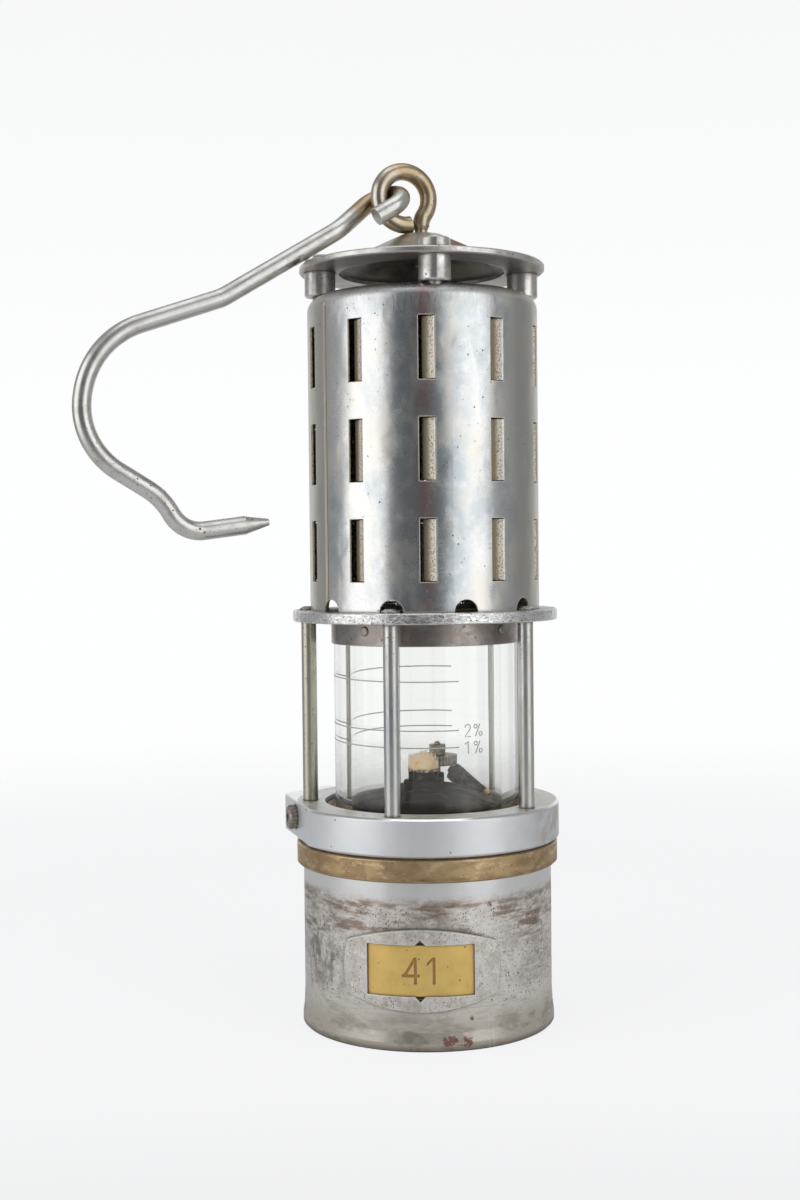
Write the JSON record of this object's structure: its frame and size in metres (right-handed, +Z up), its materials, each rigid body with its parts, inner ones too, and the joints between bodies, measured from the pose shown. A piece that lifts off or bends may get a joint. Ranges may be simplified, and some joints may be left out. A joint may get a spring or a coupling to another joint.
{
  "type": "miner's flame safety lamp",
  "caption": "Miner's flame safety lamp: fuel tank with screwed neck ring, caged thick glass, slotted bonnet over wire gauzes, and a bent wire hook on a swivelling eyebolt.",
  "frame": {"origin": "middle of the tank's foot, on the ground", "axes": "+Z up along the lamp's axis, -Y towards the front with the number plate"},
  "size_m": [0.1519, 0.0882, 0.2832],
  "materials": {
    "plated_steel": "worn plated steel with pits and brown stains",
    "frame_steel": "satin plated steel",
    "satin_ring": "fine turned satin plating",
    "bonnet_steel": "satin plated sheet with broad reflections",
    "cap_steel": "worn satin plating",
    "ring_steel": "dull steel with rust tint",
    "rod_steel": "drawn plated rod",
    "lock_steel": "dark pitted steel",
    "hook_wire": "plated wire with brown patina",
    "eye_wire": "plated wire with golden brown patina",
    "aged_brass": "aged dark brass",
    "plate_brass": "bright yellow brass plate",
    "works_brass": "dull brass",
    "dark_bronze": "dark tarnished bronze",
    "seat_bronze": "brown tarnished bronze",
    "works_steel": "plain steel",
    "wheel_steel": "hardened dark steel",
    "flint": "sparking metal",
    "gauze_wire": "fine woven wire",
    "lamp_glass": "thick clear glass",
    "gasket": "pressed fibre",
    "wick_cotton": "woven cotton, singed",
    "packing_cotton": "loose cotton"
  },
  "bodies": {
    "tank": {"tank_shell": "plated_steel", "tank_bottom": "plated_steel", "tank_top": "aged_brass", "neck_ring": "aged_brass", "joint_washer": "gasket", "label_frame": "frame_steel", "number_plate": "plate_brass", "cotton_packing": "packing_cotton", "filler_washer": "gasket", "burner_cover": "dark_bronze", "wick_tube": "dark_bronze", "spindle_gland": "works_brass", "striker_tube": "works_brass", "striker_spring": "works_steel", "flint_tube": "dark_bronze", "flint": "flint", "flint_spring": "works_steel", "flint_plug": "works_brass"},
    "filler": {"filler_plug": "works_brass"},
    "knob": {"wick_knob": "works_brass", "wick_spindle": "works_steel"},
    "wick_lift": {"wick": "wick_cotton", "wick_carrier": "works_brass"},
    "striker": {"striker_shaft": "works_steel", "striker_wheel": "wheel_steel", "striker_key": "works_brass"},
    "upper": {"lower_ring": "satin_ring", "glass_seat": "seat_bronze", "lower_gasket": "gasket", "lamp_glass": "lamp_glass", "upper_gasket": "gasket", "gauze_seat": "ring_steel", "glass_collar": "ring_steel", "collar_rivets": "ring_steel", "pillars": "rod_steel", "upper_ring": "ring_steel", "gauze_ring": "works_brass", "inner_gauze": "gauze_wire", "outer_gauze": "gauze_wire", "gauze_cap": "gauze_wire", "bonnet": "bonnet_steel", "cap_spacers": "cap_steel", "cap_rivets": "cap_steel", "cap_plate": "cap_steel"},
    "lock": {"lock_screw": "lock_steel"},
    "swivel": {"eyebolt": "eye_wire", "eyebolt_washer": "eye_wire", "eyebolt_nut": "eye_wire"},
    "hook": {"hook": "hook_wire"}
  },
  "joints": [
    {"name": "filler_plug_out", "type": "slide", "parent": "tank", "child": "filler", "axis": [0, 0, -1], "range_m": [0, 0.012]},
    {"name": "wick_knob_turn", "type": "hinge", "parent": "tank", "child": "knob", "pos_m": [-0.015, 0, 0.003], "axis": [0, 0, 1], "range_deg": [-900, 540]},
    {"name": "wick_raise", "type": "slide", "parent": "tank", "child": "wick_lift", "axis": [0, 0, 1], "range_m": [-0.005, 0.003]},
    {"name": "striker_turn", "type": "hinge", "parent": "tank", "child": "striker", "pos_m": [0.0039, 0.0112, 0.003], "axis": [0, 0, 1], "range_deg": [0, 60], "stiffness_Nm_per_rad": 0.002},
    {"name": "upper_lift", "type": "slide", "parent": "tank", "child": "upper", "axis": [0, 0, 1], "range_m": [0, 0.04]},
    {"name": "lock_screw_out", "type": "slide", "parent": "upper", "child": "lock", "axis": [-0.9563, -0.2924, 0], "range_m": [0, 0.004]},
    {"name": "eyebolt_swivel", "type": "hinge", "parent": "upper", "child": "swivel", "pos_m": [0, 0, 0.26], "axis": [0, 0, 1], "range_deg": [-0.5, 60]},
    {"name": "hook_swing", "type": "hinge", "parent": "swivel", "child": "hook", "pos_m": [-0.00558, -0.0022, 0.27175], "axis": [-0.3665, 0.9304, 0], "range_deg": [0, 190]}
  ],
  "couplings": [
    {"joint": "wick_knob_turn", "follows": "wick_raise", "rad_per_m": 3141.5}
  ]
}
